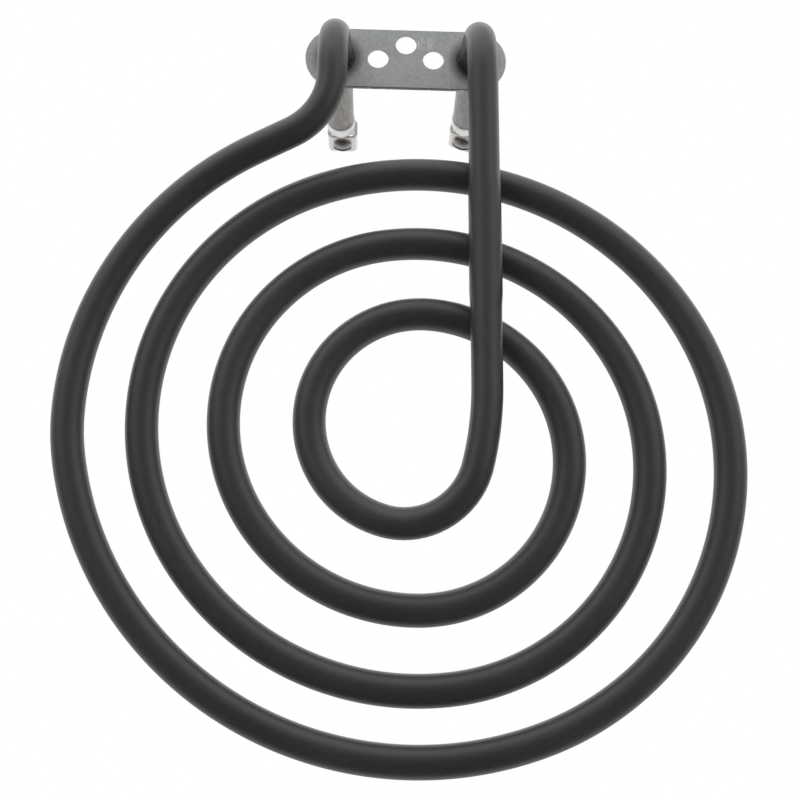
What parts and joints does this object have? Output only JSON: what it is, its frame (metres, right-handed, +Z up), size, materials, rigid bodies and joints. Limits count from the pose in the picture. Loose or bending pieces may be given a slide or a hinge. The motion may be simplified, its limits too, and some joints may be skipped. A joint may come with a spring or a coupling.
{
  "type": "tubular heating element",
  "caption": "Sheathed electric heating element wound into a flat open spiral, its two leads bent back through a small flange plate to screw-clamp terminals.",
  "frame": {"origin": "centre of the flange plate's rear sealing face, midway between the two tube holes", "axes": "+Y back through the plate along the terminal tails, +X right between the tube holes seen from the spiral's side, +Z up; the spiral hangs below and in front of the plate"},
  "size_m": [0.1771, 0.0865, 0.2085],
  "materials": {
    "oxidised_steel": "dark grey satin oxide",
    "plate_steel": "dull zinc grey",
    "braze": "dull, darkened by heat",
    "bright_steel": "nickel plated",
    "magnesia": "matt",
    "seal_resin": "matt",
    "white_ceramic": "matt white"
  },
  "bodies": {
    "root": {"mounting_plate": "plate_steel", "sheath": "oxidised_steel", "braze_fillet_left": "braze", "terminal_pin_left": "bright_steel", "insulation_filler_left": "magnesia", "end_seal_left": "seal_resin", "ceramic_bead_left": "white_ceramic", "clamp_cage_left": "bright_steel", "clamp_screw_left": "bright_steel", "braze_fillet_right": "braze", "terminal_pin_right": "bright_steel", "insulation_filler_right": "magnesia", "end_seal_right": "seal_resin", "ceramic_bead_right": "white_ceramic", "clamp_cage_right": "bright_steel", "clamp_screw_right": "bright_steel"}
  },
  "joints": []
}
